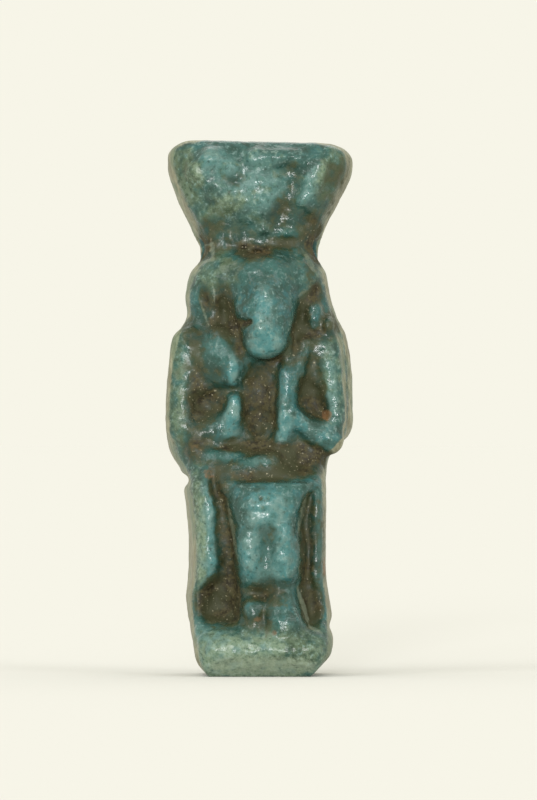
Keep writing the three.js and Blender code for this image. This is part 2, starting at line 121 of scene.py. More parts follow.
def ellipsoid(x, depth, z, centre, radii, turn=0.0):
    """Distance-like value of an ellipsoid, turned in the front plane."""
    cos, sin = np.cos(turn), np.sin(turn)
    across = (cos * (x - centre[0]) + sin * (z - centre[2])) / radii[0]
    through = (depth - centre[1]) / radii[1]
    up = (cos * (z - centre[2]) - sin * (x - centre[0])) / radii[2]
    size = np.sqrt(across**2 + through**2 + up**2)
    slope = np.sqrt((across / radii[0])**2 + (through / radii[1])**2 + (up / radii[2])**2)
    return np.where(slope < 1e-6, -min(radii), size * (size - 1) / np.maximum(slope, 1e-6))


def tapered_limb(x, depth, z, start, end, radii):
    """Distance to a limb that tapers from one ball to another."""
    along = np.subtract(end, start)
    gap = (x - start[0], depth - start[1], z - start[2])
    share = np.clip(sum(g * a for g, a in zip(gap, along)) / (along @ along), 0, 1)
    apart = np.sqrt(sum((g - share * a)**2 for g, a in zip(gap, along)))
    return apart - (radii[0] + (radii[1] - radii[0]) * share)


def lofted(sections):
    """A mass through rounded-rectangle sections, without ends."""
    table = np.array(sections, float)
    heights, sizes = table[:, 0], table[:, 1:]
    rises = np.diff(sizes, axis=0) / np.diff(heights)[:, None]
    slopes = np.vstack([rises[:1], (rises[:-1] + rises[1:]) / 2, rises[-1:]])

    def sizes_at(z):
        at = np.clip(z, heights[0], heights[-1])
        i = np.clip(np.searchsorted(heights, at) - 1, 0, len(heights) - 2)
        span = heights[i + 1] - heights[i]
        t = ((at - heights[i]) / span)[:, None]
        span = span[:, None]
        return ((2 * t**3 - 3 * t**2 + 1) * sizes[i] + (t**3 - 2 * t**2 + t) * span * slopes[i]
                + (3 * t**2 - 2 * t**3) * sizes[i + 1] + (t**3 - t**2) * span * slopes[i + 1])

    def distance(x, depth, z):
        left, right, back, front, left_in, right_in, square = sizes_at(z).T
        forward = np.clip((depth - back) / (front - back), 0, 1) - 0.5
        near, far = left + left_in * forward, right - right_in * forward
        across = np.abs((2 * x - near - far) / (far - near))**square
        through = np.abs((2 * depth - back - front) / (front - back))**square
        return ((across + through)**(1 / square) - 1) * np.minimum(far - near, front - back) / 2

    return distance


# Each stroke of the carver adds or cuts one form, and has the heights that it reaches between.
# Places in the front plane are (x, z), and half sizes are (across, up).
def mass(sections, blend):
    low, high, distance = sections[0][0], sections[-1][0], lofted(sections)

    def shape(body, x, depth, z):
        return smooth_min(body, np.maximum(distance(x, depth, z), np.maximum(z - high, low - z)), blend)

    return low - blend, high + blend, shape


def slot(sections, blend):
    low, high, distance = sections[0][0], sections[-1][0], lofted(sections)

    def shape(body, x, depth, z):
        return smooth_max(body, -np.maximum(distance(x, depth, z), np.maximum(z - high, low - z)), blend)

    return low - blend, high + blend, shape


def swell(at, half, front, thick=1.6, blend=0.4, turn=0.0):
    centre, radii = (at[0], front - thick, at[1]), (half[0], thick, half[1])
    reach = max(half) + 2 * blend

    def shape(body, x, depth, z):
        return smooth_min(body, ellipsoid(x, depth, z, centre, radii, turn), blend)

    return at[1] - reach, at[1] + reach, shape


def hollow(at, half, floor, thick=2.0, blend=0.35, turn=0.0):
    centre, radii = (at[0], floor + thick, at[1]), (half[0], thick, half[1])
    reach = max(half) + 2 * blend

    def shape(body, x, depth, z):
        return smooth_max(body, -ellipsoid(x, np.minimum(depth, centre[1]), z, centre, radii, turn), blend)

    return at[1] - reach, at[1] + reach, shape


# The ends of a limb are (x, z, depth of its front), and those of a groove are (x, z, depth of its floor).
def limb(start, end, radii, blend=0.35):
    balls = [(x, front - radius, z) for (x, z, front), radius in zip((start, end), radii)]
    reach = max(radii) + 2 * blend

    def shape(body, x, depth, z):
        return smooth_min(body, tapered_limb(x, depth, z, *balls, radii), blend)

    return min(start[1], end[1]) - reach, max(start[1], end[1]) + reach, shape


def groove(start, end, radii, blend=0.2):
    (x0, z0, _), (x1, z1, _) = start, end
    level0, level1 = start[2] + radii[0], end[2] + radii[1]
    reach = max(radii) + 2 * blend

    def shape(body, x, depth, z):
        along = (x - x0) * (x1 - x0) + (z - z0) * (z1 - z0)
        share = np.clip(along / ((x1 - x0)**2 + (z1 - z0)**2), 0, 1)
        below = np.minimum(depth - level0 - (level1 - level0) * share, 0)
        across = (x - x0 - (x1 - x0) * share, z - z0 - (z1 - z0) * share)
        apart = np.sqrt(across[0]**2 + across[1]**2 + below**2)
        return smooth_max(body, radii[0] + (radii[1] - radii[0]) * share - apart, blend)

    return min(z0, z1) - reach, max(z0, z1) + reach, shape


CROWN = [
    swell((-0.1, 27.0), (1.6, 1.7), 5.2, blend=0.7),  # sun disc
    limb((-3.3, 28.2, 5.0), (-2.6, 28.9, 5.05), (0.45, 0.45), blend=0.6),  # left horn
    limb((-2.6, 28.9, 5.05), (-1.6, 28.5, 5.05), (0.45, 0.4), blend=0.6),
    limb((-3.3, 28.2, 4.95), (-1.9, 26.9, 5.15), (0.5, 0.65), blend=0.6),
    limb((-0.2, 29.0, 5.1), (2.2, 29.05, 5.05), (0.5, 0.45), blend=0.5),  # top edge
    limb((3.4, 28.5, 5.05), (2.5, 26.7, 5.1), (0.45, 0.5), blend=0.5),  # right horn
    groove((1.7, 28.3, 4.75), (2.0, 27.3, 4.6), (0.3, 0.4), blend=0.5),
    hollow((1.4, 26.0), (0.75, 0.9), 4.35, blend=0.5, turn=-0.4),
    hollow((-1.3, 27.8), (0.5, 0.42), 4.95, blend=0.5),
    hollow((2.6, 25.4), (0.5, 0.9), 4.0, blend=0.5),
    swell((0.3, 24.95), (0.4, 0.35), 4.75, thick=0.6, blend=0.3),
    swell((1.6, 24.75), (0.5, 0.25), 4.65, thick=0.6, blend=0.3),
]
HEAD = [
    swell((0.2, 22.15), (3.1, 1.75), 6.25, thick=2.4, blend=0.5),  # brow
    hollow((-0.1, 23.65), (1.0, 0.34), 4.25, blend=0.2),  # gap under the crown
    hollow((0.65, 23.45), (0.3, 0.36), 4.3, blend=0.2),
    hollow((-0.85, 23.95), (0.5, 0.22), 4.1, blend=0.2),
    hollow((1.6, 24.0), (1.0, 0.13), 4.15, blend=0.15),
    limb((0.35, 21.7, 6.75), (0.3, 18.8, 7.7), (1.9, 1.2), blend=0.5),  # face
    swell((0.7, 18.65), (0.95, 0.75), 7.45, blend=0.5),  # end of the muzzle
    limb((0.3, 21.3, 7.15), (0.1, 19.6, 7.75), (0.35, 0.4), blend=0.9),  # ridge of the nose
    swell((-0.75, 20.5), (0.65, 0.75), 7.0, blend=0.4),  # left cheek
    swell((1.0, 20.2), (1.05, 1.3), 7.15, blend=0.5),  # right cheek
    hollow((-2.95, 20.95), (0.3, 1.0), 4.9, blend=0.3, turn=0.15),  # left ear
    hollow((-1.95, 20.4), (0.5, 1.35), 4.9, blend=0.3, turn=0.1),  # left of the face
    hollow((-2.1, 19.55), (0.75, 0.36), 5.0, blend=0.3),
    groove((-2.0, 19.5, 5.3), (-0.4, 19.75, 6.95), (0.17, 0.09), blend=0.2),  # mouth
    hollow((2.5, 20.1), (0.38, 1.35), 5.0, blend=0.35, turn=-0.2),  # right of the face
    hollow((3.2, 21.4), (0.28, 0.62), 4.8, blend=0.25),  # right ear
    limb((3.15, 20.5, 5.5), (3.15, 19.6, 5.6), (0.3, 0.28), blend=0.45),
    hollow((2.95, 19.05), (0.8, 0.22), 5.45, blend=0.35),
]
BREAST_AND_ARMS = [
    swell((-1.8, 17.5), (1.8, 1.6), 6.5, thick=1.4, blend=0.7),  # left lappet
    limb((-2.2, 19.0, 6.1), (-2.0, 18.2, 6.4), (0.4, 0.5), blend=0.7),
    limb((-1.35, 17.7, 6.65), (-1.42, 16.4, 6.6), (0.3, 0.34), blend=0.6),
    swell((-1.3, 15.5), (0.42, 0.38), 6.6, thick=0.9, blend=0.35),
    hollow((-2.3, 17.0), (0.25, 0.35), 6.4, thick=1, blend=0.3),
    swell((-3.1, 15.9), (0.4, 0.4), 6.0, thick=1),
    limb((2.6, 18.5, 6.05), (1.8, 15.8, 6.6), (0.38, 0.48), blend=0.5),  # right lappet
    limb((1.75, 18.8, 6.2), (1.6, 17.7, 6.3), (0.2, 0.22), blend=0.35),
    groove((2.1, 18.7, 5.95), (1.95, 17.8, 6.15), (0.08, 0.07), blend=0.25),
    limb((1.5, 17.0, 6.5), (1.45, 15.2, 6.7), (0.32, 0.4), blend=0.6),
    limb((-4.0, 18.5, 5.7), (-4.2, 14.0, 6.2), (0.85, 0.9), blend=0.6),  # left upper arm
    limb((-1.5, 14.4, 6.55), (-3.5, 13.2, 6.3), (0.55, 0.75), blend=0.7),  # left forearm
    limb((-1.35, 14.9, 6.65), (-1.8, 13.6, 6.55), (0.36, 0.5), blend=0.6),  # left hand
    groove((-1.95, 14.3, 6.45), (-1.8, 13.5, 6.45), (0.08, 0.08), blend=0.25),
    limb((3.75, 18.4, 5.85), (4.25, 14.4, 6.25), (0.78, 0.68), blend=0.5),  # right upper arm
    limb((1.9, 14.35, 6.75), (4.0, 13.1, 6.5), (0.65, 0.78), blend=0.5),  # right forearm
    limb((1.45, 14.9, 6.8), (1.2, 13.2, 6.75), (0.42, 0.42), blend=0.6),  # right hand
    hollow((-2.9, 15.2), (0.95, 0.85), 5.45, blend=0.7, turn=-0.3),
    hollow((-1.7, 15.95), (1.1, 0.22), 6.0, blend=0.35, turn=0.2),  # crook of the left arm
    hollow((3.0, 15.5), (0.72, 1.35), 5.3, blend=0.45, turn=0.25),
    hollow((3.4, 14.9), (0.6, 0.6), 5.4, blend=0.4),  # crook of the right arm
    hollow((0.05, 16.2), (0.95, 1.3), 5.6, blend=0.6),  # between the hands
    hollow((0.0, 14.2), (1.0, 1.4), 5.5, blend=0.6),
    swell((3.9, 19.5), (0.42, 0.6), 5.85, thick=1, blend=0.25),  # right shoulder
    swell((-3.55, 12.5), (0.55, 0.55), 6.75, thick=1.2, blend=0.3),
    hollow((-1.5, 12.95), (0.6, 0.22), 6.2, blend=0.4),
]
LAP = [
    hollow((0.2, 12.72), (1.3, 0.2), 6.2, blend=0.2),
    limb((-1.0, 11.6, 7.8), (0.7, 12.1, 7.45), (0.42, 0.35), blend=0.9),  # form lying across the lap
    limb((-2.6, 12.0, 6.95), (-1.4, 12.1, 7.0), (0.45, 0.38), blend=0.8),
    hollow((2.4, 12.1), (1.3, 0.85), 6.2, blend=0.4),
    hollow((0.9, 11.15), (1.6, 0.28), 7.6, blend=0.4),
    hollow((-2.5, 10.9), (0.45, 1.1), 7.4, blend=0.4, turn=0.2),
]
LEFT_SLOT = [
    section(2.7, -3.1, -1.2, 8.5, 13, (0, 0), 3),
    section(3.4, -3.4, -1.0, 7.2, 13, (0, 0), 3),
    section(4.6, -3.35, -1.0, 7.1, 13, (0, 0), 3),
    section(5.4, -2.75, -1.0, 7.25, 13, (0, 0), 3),
    section(6.2, -2.4, -1.05, 7.6, 13, (0, 0), 3),
    section(7.6, -2.4, -1.2, 7.75, 13, (0, 0), 3),
    section(8.8, -2.4, -1.45, 7.85, 13, (0, 0), 3),
    section(9.9, -2.3, -1.75, 8.15, 13, (0, 0), 3),
]
RIGHT_SLOT = [
    section(2.7, 2.75, 3.3, 8.5, 13, (0, 0), 3),
    section(3.4, 2.6, 3.4, 7.5, 13, (0, 0), 3),
    section(4.5, 2.3, 3.36, 7.4, 13, (0, 0), 3),
    section(5.3, 2.25, 3.1, 7.55, 13, (0, 0), 3),
    section(7.6, 2.2, 3.02, 7.6, 13, (0, 0), 3),
    section(8.8, 2.25, 3.08, 7.6, 13, (0, 0), 3),
    section(10.2, 2.6, 3.05, 7.6, 13, (0, 0), 3),
]
LEGS_AND_THRONE = [
    slot(LEFT_SLOT, 0.7),
    slot(RIGHT_SLOT, 0.55),
    mass(LEGS, 0.25),
    swell((0.45, 9.6), (1.5, 1.0), 9.65, blend=0.5),  # knees
    swell((0.2, 8.65), (0.9, 0.25), 9.52, thick=0.5, blend=0.5),
    swell((-0.35, 6.9), (0.7, 1.6), 9.35, thick=1.2, blend=0.7),  # shins
    swell((1.4, 6.8), (0.85, 1.8), 9.35, thick=1.3, blend=0.7),
    hollow((0.45, 7.0), (0.3, 1.3), 9.05, thick=0.8, blend=0.6),
    swell((0.0, 8.75), (0.6, 0.22), 9.6, thick=0.3, blend=0.25, turn=0.15),
    swell((1.45, 7.9), (0.28, 0.5), 9.65, thick=0.35, blend=0.3),
    swell((-0.5, 6.3), (0.35, 0.3), 9.5, thick=0.35, blend=0.3),
    swell((1.25, 6.45), (0.4, 0.3), 9.6, thick=0.35, blend=0.3),
    swell((1.6, 5.75), (0.25, 0.35), 9.4, thick=0.35, blend=0.3),
    hollow((0.13, 9.9), (0.16, 0.22), 9.35, thick=0.5, blend=0.15),  # pits in the glaze
    hollow((-2.88, 7.05), (0.14, 0.12), 8.1, thick=0.5, blend=0.15),
    hollow((-2.55, 7.45), (0.12, 0.12), 8.1, thick=0.5, blend=0.15),
    hollow((0.35, 4.55), (0.9, 0.35), 8.3, blend=0.5),  # ankles
    swell((-0.4, 3.65), (0.6, 0.7), 9.3, blend=0.4),  # left foot
    limb((1.3, 4.2, 9.2), (1.55, 2.9, 9.85), (0.75, 0.95), blend=0.4),  # right foot
    hollow((0.3, 3.3), (0.12, 0.5), 9.0, thick=0.6, blend=0.3),
]


def side_cut(side, start, end, reach, radius):
    """A shallow cut in a side, between two places (depth, z)."""
    ends = [(side * reach, depth, z) for depth, z in (start, end)]

    def shape(body, x, depth, z):
        return smooth_max(body, -tapered_limb(x, depth, z, *ends, (radius, radius)), 0.3)

    return min(start[1], end[1]) - 1, max(start[1], end[1]) + 1, shape


def hole_mouth(side):
    """The worn edge of the cord hole."""
    centre = (side * 3.6, CORD_HOLE["depth"], CORD_HOLE["z"])

    def shape(body, x, depth, z):
        return smooth_max(body, -ellipsoid(x, depth, z, centre, (0.5, 0.95, 0.85)), 0.3)

    return CORD_HOLE["z"] - 1.7, CORD_HOLE["z"] + 1.7, shape


def cord_hole():
    def shape(body, x, depth, z):
        hole = np.hypot(depth - CORD_HOLE["depth"], z - CORD_HOLE["z"]) - CORD_HOLE["radius"]
        return smooth_max(body, -hole, 0.15)

    return CORD_HOLE["z"] - 1.2, CORD_HOLE["z"] + 1.2, shape


SIDES = []
for side in (-1, 1):
    SIDES += [
        side_cut(side, (2.2, 19.3), (2.4, 14.0), 5.4, 0.4),
        side_cut(side, (0.9, 10.9), (7.2, 10.9), 4.2, 0.32),
        side_cut(side, (0.6, 2.75), (7.6, 2.75), 4.25, 0.3),
        hole_mouth(side),
    ]

STROKES = CROWN + HEAD + BREAST_AND_ARMS + LAP + LEGS_AND_THRONE + SIDES + [cord_hole()]
trunk = lofted(TRUNK)


def pillar(x, depth, z):
    """The back pillar: a slab with rounded edges, flat at depth 0."""
    corner = PILLAR["corner"]
    across = np.abs(x) - PILLAR["width"] / 2 + corner
    through = np.abs(depth - PILLAR["thick"] / 2) - PILLAR["thick"] / 2 + corner
    up = z - PILLAR["top"] + corner
    outside = np.sqrt(np.maximum(across, 0)**2 + np.maximum(through, 0)**2 + np.maximum(up, 0)**2)
    return outside + np.minimum(np.maximum(np.maximum(across, through), up), 0) - corner


def bevels(x, depth, z):
    """The four flat bevels that rise from the edges of the underside."""
    beyond_x = np.maximum(FOOT["left"] - x, x - FOOT["right"])
    beyond_depth = np.maximum(FOOT["back"] - depth, depth - FOOT["front"])
    return (np.maximum(beyond_x, beyond_depth) - z) / np.sqrt(2)


def amulet(points):
    """Negative inside the amulet and positive outside, at an array of points (x, depth, z)."""
    values = np.empty(len(points))
    slabs = np.clip(np.floor(points[:, 2] / SLAB), 0, HEIGHT / SLAB).astype(int)
    for slab in np.unique(slabs):
        pick = np.nonzero(slabs == slab)[0]
        x, depth, z = points[pick].T
        body = trunk(x, depth, z)
        for low, high, shape in STROKES:
            if high > slab * SLAB and low < (slab + 1) * SLAB:
                body = shape(body, x, depth, z)
        body = smooth_min(body, pillar(x, depth, z), 0.25)
        body = smooth_max(body, bevels(x, depth, z), 0.3)
        values[pick] = smooth_max(np.maximum(body, -z), z - HEIGHT, 0.25)
    return values


def slopes(points, values):
    """How the value changes along each axis."""
    probe = 0.02
    return np.stack([(amulet(points + probe * axis) - values) / probe for axis in np.eye(3)], axis=1)


def bridged(values):
    """The grid after glaze has closed each gap that is narrower than a cell, so that no two folds share an edge."""
    filled = -0.01
    found = True
    while found:
        found = False
        for u, v in ((0, 1), (1, 2), (2, 0)):
            sides = [[slice(None)] * 3 for _ in range(4)]
            for side, (i, j) in zip(sides, ((0, 0), (1, 0), (1, 1), (0, 1))):
                side[u], side[v] = slice(i, values.shape[u] - 1 + i), slice(j, values.shape[v] - 1 + j)
            a, b, c, d = (values[tuple(side)] < 0 for side in sides)
            for cell in np.argwhere((a == c) & (b == d) & (a != b)):
                corners = np.tile(cell, (4, 1))
                corners[1:3, u] += 1
                corners[2:, v] += 1
                outside = [tuple(corner) for corner in corners if values[tuple(corner)] >= 0]
                if len(outside) == 2:
                    values[min(outside, key=lambda corner: values[corner])] = filled
                    found = True
    return values


def surface_net(values, axes):
    """The vertices and four-sided faces of the surface where a grid of values changes sign."""
    shape = np.array(values.shape)
    strides = np.array([shape[1] * shape[2], shape[2], 1])
    inside = values < 0
    flat = values.ravel()
    sums = np.zeros((flat.size, 4), np.float32)
    edges = []
    for axis in range(3):
        here = [slice(None)] * 3
        there = [slice(None)] * 3
        here[axis], there[axis] = slice(0, -1), slice(1, None)
        cell = np.argwhere(inside[tuple(here)] != inside[tuple(there)])
        first = cell @ strides
        second = first + strides[axis]
        share = flat[first] / (flat[first] - flat[second])
        place = np.stack([axes[k][cell[:, k]] for k in range(3)], axis=1)
        place[:, axis] += share * (axes[axis][cell[:, axis] + 1] - axes[axis][cell[:, axis]])
        u, v = strides[(axis + 1) % 3], strides[(axis + 2) % 3]
        around = np.stack([first, first - u, first - u - v, first - v], axis=1)
        for corner in around.T:
            for k in range(3):
                sums[:, k] += np.bincount(corner, place[:, k], flat.size)
            sums[:, 3] += np.bincount(corner, minlength=flat.size)
        outward = flat[first] < 0
        edges.append(np.where(outward[:, None], around, around[:, ::-1]))
    used = np.nonzero(sums[:, 3])[0]
    number = np.zeros(flat.size, np.int64)
    number[used] = np.arange(len(used))
    vertices = sums[used, :3] / sums[used, 3:]
    return vertices.astype(float), number[np.concatenate(edges)]


def lumps(points, size, seed):
    """Smooth random lumps between -1 and 1, about as far apart as size."""
    rng = np.random.default_rng(seed)
    lattice = rng.uniform(-1, 1, (64, 64, 64))
    at = points / size + 20
    cell = np.floor(at).astype(int)
    t = at - cell
    t = t * t * (3 - 2 * t)
    total = np.zeros(len(points))
    for i in (0, 1):
        for j in (0, 1):
            for k in (0, 1):
                weight = np.prod([t[:, n] if c else 1 - t[:, n] for n, c in enumerate((i, j, k))], axis=0)
                corner = (cell + (i, j, k)) % 64
                total += weight * lattice[corner[:, 0], corner[:, 1], corner[:, 2]]
    return total


def make_surface():
    depths = np.concatenate([np.arange(-0.48, 2.9, BACK_STEP), np.arange(2.9, 10.5, GRID_STEP)])
    axes = [np.arange(-5.9, 5.95, GRID_STEP), depths, np.arange(-0.33, 30.5, GRID_STEP)]
    grid = np.stack(np.meshgrid(*axes, indexing="ij"), axis=-1).reshape(-1, 3)
    values = bridged(amulet(grid).reshape([len(axis) for axis in axes]))
    points, faces = surface_net(values, axes)
    for _ in range(2):
        values = amulet(points)
        rise = slopes(points, values)
        step = values / np.maximum((rise**2).sum(axis=1), 0.05)
        points = points - rise * np.clip(step, -0.1, 0.1)[:, None]
    return points, faces


def spread(columns, share, passes):
    """Values at the points, each moved by a share toward the mean of its neighbours, again and again."""
    pairs = np.concatenate([faces[:, [k, (k + 1) % 4]] for k in range(4)])
    count = np.bincount(pairs[:, 0], minlength=len(columns))[:, None]
    for _ in range(passes):
        sums = [np.bincount(pairs[:, 0], column[pairs[:, 1]], len(columns)) for column in columns.T]
        columns = columns + share * (np.stack(sums, axis=1) / count - columns)
    return columns


def melted(points, passes=8):
    """The points after glaze has filled the corners, but not at the foot or back."""
    share = 0.5 * np.clip(points[:, 2:] / 0.6 - 0.5, 0, 1) * np.clip(points[:, 1:2] / 0.6 - 0.5, 0, 1)
    return spread(points, share, passes)


points, faces = make_surface()
points = melted(points)
values = amulet(points)
normals = slopes(points, values)
normals /= np.maximum(np.linalg.norm(normals, axis=1), 1e-6)[:, None]


def shelter(points):
    """How sheltered each point is by the forms around it."""
    total = np.zeros(len(points))
    reaches = (0.25, 0.5, 0.9, 1.5)
    for reach in reaches:
        total += np.clip(1 - amulet(points + normals * reach) / reach, 0, 1.5) / len(reaches)
    return total


def edge(points):
    """How sharp an outward edge each point lies on."""
    reach = 0.45
    return np.clip(1 + amulet(points - normals * reach) / reach, 0, 1)


# Marks on the front: where they are, their half sizes, how strong they are, and their turn.
# Earth in the hollows, plus painted shade that darkens the forehead, the lappets, the left arm and the right strip;
# the negative one is painted light on the underside.
EARTH_AND_SHADE = [
    ((-4.3, 28.6), (0.45, 1.0), 0.45, 0.2),  # crown
    ((1.75, 28.95), (0.5, 0.45), 0.6, 0.0),
    ((4.4, 28.7), (0.6, 1.2), 0.45, -0.3),
    ((-1.3, 27.8), (0.5, 0.45), 0.75, 0.0),
    ((2.0, 28.0), (0.35, 0.9), 0.45, -0.3),
    ((1.25, 26.0), (0.8, 1.1), 0.9, -0.5),
    ((-2.5, 25.5), (0.9, 0.55), 0.65, 0.3),
    ((-1.5, 24.8), (1.3, 0.7), 0.6, 0.0),
    ((2.6, 25.0), (0.7, 1.1), 0.7, -0.2),
    ((1.6, 24.15), (1.2, 0.25), 1.5, 0.0),
    ((-0.3, 23.7), (0.95, 0.4), 2.2, 0.0),
    ((-1.9, 24.1), (0.8, 0.3), 0.8, 0.0),
    ((3.1, 23.9), (0.5, 1.6), 1.3, -0.1),
    ((-2.85, 23.7), (0.5, 0.7), 1.3, 0.2),
    ((0.2, 22.7), (2.6, 1.0), 0.65, 0.0),  # head
    ((-2.4, 17.8), (1.1, 1.5), 0.6, 0.0),
    ((2.1, 17.4), (0.8, 1.8), 0.65, 0.1),
    ((3.45, 7.3), (0.35, 3.8), 1.0, 0.0),
    ((0.3, 18.2), (1.3, 0.5), 0.3, 0.0),
    ((-4.3, 16.0), (0.8, 3.2), 0.5, 0.0),
    # painted light: lightens the down-facing underside
    ((-0.2, 0.6), (4.2, 0.6), -0.6, 0.0),
    ((-2.9, 24.6), (0.4, 1.0), 0.5, 0.0),
    ((-3.4, 23.9), (0.3, 0.9), 1.2, 0.0),
    ((3.4, 23.9), (0.3, 0.9), 1.2, 0.0),
    ((4.0, 27.0), (0.9, 2.2), 0.55, -0.3),
    ((-2.95, 21.0), (0.35, 1.0), 1.5, 0.15),
    ((-1.9, 20.5), (0.6, 1.4), 1.6, 0.1),
    ((-2.2, 19.5), (0.85, 0.5), 1.5, 0.0),
    ((-1.2, 19.62), (0.95, 0.2), 1.8, 0.12),
    ((3.2, 21.4), (0.33, 0.75), 1.6, 0.0),
    ((2.45, 19.9), (0.45, 1.5), 1.6, -0.2),
    ((3.95, 19.5), (0.6, 0.85), 1.2, 0.0),
    ((2.9, 19.05), (0.8, 0.3), 1.2, 0.0),
    ((2.05, 18.3), (0.16, 0.7), 1.2, -0.2),
    ((1.0, 17.6), (0.5, 0.2), 1.0, 0.3),
    ((-1.1, 18.4), (0.3, 0.9), 1.1, 0.0),
    ((-3.75, 19.1), (0.6, 0.8), 1.1, 0.0),
    ((0.1, 15.1), (1.1, 2.3), 1.7, 0.0),  # breast
    ((-2.8, 15.3), (1.05, 0.95), 1.5, -0.2),
    ((-3.3, 13.6), (0.8, 0.9), 1.05, 0.0),
    ((3.15, 15.4), (0.8, 1.25), 1.5, 0.3),
    ((-2.3, 17.0), (0.3, 0.4), 0.7, 0.0),
    ((-3.5, 17.3), (0.45, 1.6), 0.6, 0.0),
    ((-3.6, 15.4), (0.4, 1.5), 0.6, 0.0),
    ((3.0, 17.8), (0.45, 1.3), 0.7, 0.0),
    ((3.5, 17.0), (0.3, 1.3), 0.4, 0.1),
    ((-3.2, 16.6), (0.5, 0.8), 0.5, 0.0),
    ((-1.3, 12.9), (0.7, 0.4), 1.2, 0.2),
    ((0.2, 12.72), (1.4, 0.28), 1.6, 0.0),
    ((2.6, 12.2), (1.5, 0.85), 1.6, 0.0),  # lap
    ((0.13, 9.9), (0.1, 0.15), 1.2, 0.0),
    ((-2.88, 7.05), (0.1, 0.1), 1.0, 0.0),
    ((-2.55, 7.45), (0.1, 0.1), 1.0, 0.0),
    ((0.4, 8.2), (0.5, 0.35), 0.3, 0.0),
    ((0.1, 12.72), (2.0, 0.12), 1.2, 0.0),
    ((0.8, 11.2), (2.1, 0.4), 1.6, 0.05),
    ((0.9, 12.5), (1.5, 0.45), 0.8, 0.0),
    ((0.2, 11.7), (2.2, 0.7), 0.65, 0.1),
    ((-1.8, 11.6), (0.9, 0.5), 0.9, 0.0),
    ((-1.9, 12.7), (0.8, 0.2), 0.8, 0.0),
    ((-3.55, 12.5), (0.6, 0.6), 1.6, 0.0),
    ((-2.4, 10.9), (0.6, 1.3), 1.0, 0.2),
    ((-1.7, 7.0), (0.6, 3.6), 1.0, 0.05),  # beside the legs
    ((-2.2, 4.2), (1.3, 1.2), 2.3, 0.0),
    ((2.65, 6.8), (0.42, 3.5), 1.0, 0.0),
    ((3.0, 3.8), (0.55, 0.85), 1.5, 0.0),
    ((0.5, 4.75), (1.1, 0.75), 1.15, 0.0),
    ((1.2, 3.6), (1.0, 0.9), 0.35, 0.0),
    ((-0.2, 3.1), (0.9, 0.4), 0.7, 0.0),
    ((-3.0, 1.6), (0.5, 1.2), 0.3, 0.0),
    ((3.6, 1.5), (0.4, 1.1), 0.5, 0.0),
]
GREEN = [
    ((-4.2, 28.2), (0.9, 1.6), 0.9, 0.3),
    ((4.2, 28.3), (0.9, 1.6), 0.9, -0.3),
    ((0.0, 26.8), (4.5, 3.2), 0.45, 0.0),
    ((-2.2, 26.0), (1.6, 0.6), 0.5, 0.5),
    ((-2.4, 22.4), (1.4, 1.5), 0.7, 0.0),
    ((2.6, 22.5), (1.0, 1.0), 0.4, 0.0),
    ((-4.3, 16.0), (1.1, 4.0), 0.8, 0.0),
    ((4.3, 17.0), (1.0, 3.0), 0.6, 0.0),
    ((-3.4, 7.5), (0.6, 4.0), 0.9, 0.0),
    ((0.3, 1.0), (5.0, 1.9), 0.95, 0.0),
    ((0.5, 7.5), (1.0, 2.2), 0.3, 0.0),
]
# Lighter glaze with painted highlights on the crown, face, arms, hands, knees, shins and base; the lowest one is
# painted light on the underside.
LIGHT_GLAZE_AND_HIGHLIGHTS = [
    ((-0.1, 27.5), (1.9, 1.6), 0.7, 0.0),  # crown
    ((-2.4, 28.6), (1.0, 0.9), 0.6, 0.5),
    ((2.9, 27.6), (0.55, 1.2), 0.6, -0.4),
    ((0.4, 21.3), (0.6, 0.9), 0.3, 0.0),  # face
    ((0.5, 19.7), (0.8, 1.2), 0.45, 0.0),
    ((0.3, 18.5), (0.9, 0.8), 0.65, 0.0),
    ((-2.3, 18.2), (0.9, 0.5), 0.2, 0.0),  # breast and arms
    ((-1.4, 17.1), (0.25, 0.9), 0.7, 0.0),
    ((-1.4, 14.2), (0.7, 1.2), 0.7, 0.0),
    ((1.4, 16.0), (0.25, 1.2), 0.2, 0.0),
    ((1.4, 13.8), (0.5, 0.9), 0.8, 0.0),
    ((4.05, 16.0), (0.35, 1.8), 0.6, 0.0),
    ((-4.3, 16.0), (0.3, 1.6), 0.2, 0.0),
    ((2.9, 13.9), (1.3, 0.6), 0.3, -0.4),
    ((0.4, 12.1), (0.9, 0.35), 0.5, 0.2),  # lap and legs
    ((0.6, 9.3), (1.2, 1.0), 0.7, 0.0),
    ((0.5, 7.0), (1.5, 2.0), 0.7, 0.0),
    ((-2.9, 7.5), (0.5, 2.6), 1.0, 0.0),
    ((3.5, 7.5), (0.3, 2.6), 0.3, 0.0),
    ((-2.4, 1.6), (1.6, 1.3), 0.7, 0.0),  # base
    ((0.3, 1.9), (1.2, 0.7), 0.7, 0.0),
    # painted light on the down-facing underside
    ((0.3, 0.4), (3.5, 0.5), 0.8, 0.0),
]
RUST = [
    ((3.83, 14.55), (0.3, 0.3), 1.3, 0.0),
    ((-3.5, 12.5), (0.45, 0.5), 0.5, 0.0),
    ((-2.77, 11.3), (0.4, 0.45), 0.7, 0.0),
    ((-0.03, 3.2), (0.3, 0.2), 0.7, 0.0),
    ((0.87, 2.46), (0.2, 0.2), 0.8, 0.0),
    ((3.72, 6.1), (0.15, 0.6), 1.0, 0.0),
    ((0.0, 23.6), (0.9, 0.3), 0.5, 0.0),
    ((-1.9, 8.6), (0.4, 0.6), 0.5, 0.0),
]
